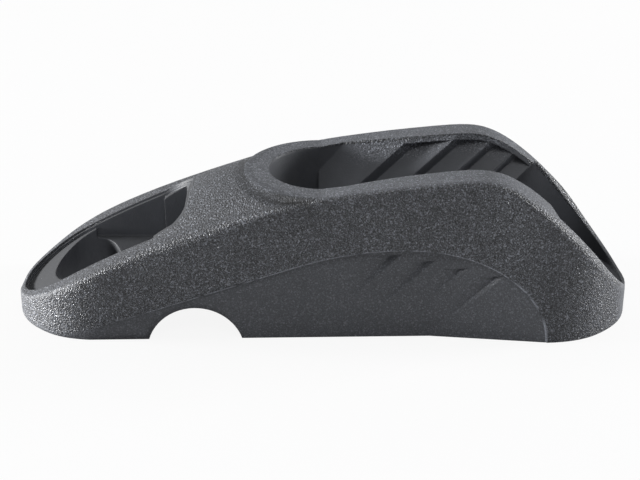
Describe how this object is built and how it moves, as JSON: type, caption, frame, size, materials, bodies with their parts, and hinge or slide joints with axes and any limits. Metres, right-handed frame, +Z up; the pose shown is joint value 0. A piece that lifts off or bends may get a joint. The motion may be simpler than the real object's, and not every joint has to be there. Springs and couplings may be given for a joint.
{
  "type": "jam cleat",
  "caption": "Free-standing moulded jam cleat with a toothed groove, a raised collar and a slotted nose.",
  "frame": {"origin": "middle of the overall length, on the centre plane, at the level of the base", "axes": "+X from the slotted nose towards the open tail of the groove, +Z up from the base, +Y to the left seen from the nose"},
  "size_m": [0.073, 0.022, 0.0192],
  "materials": {
    "moulded_nylon": "fine spark-eroded grain"
  },
  "bodies": {
    "root": {"cleat_body": "moulded_nylon"}
  },
  "joints": []
}
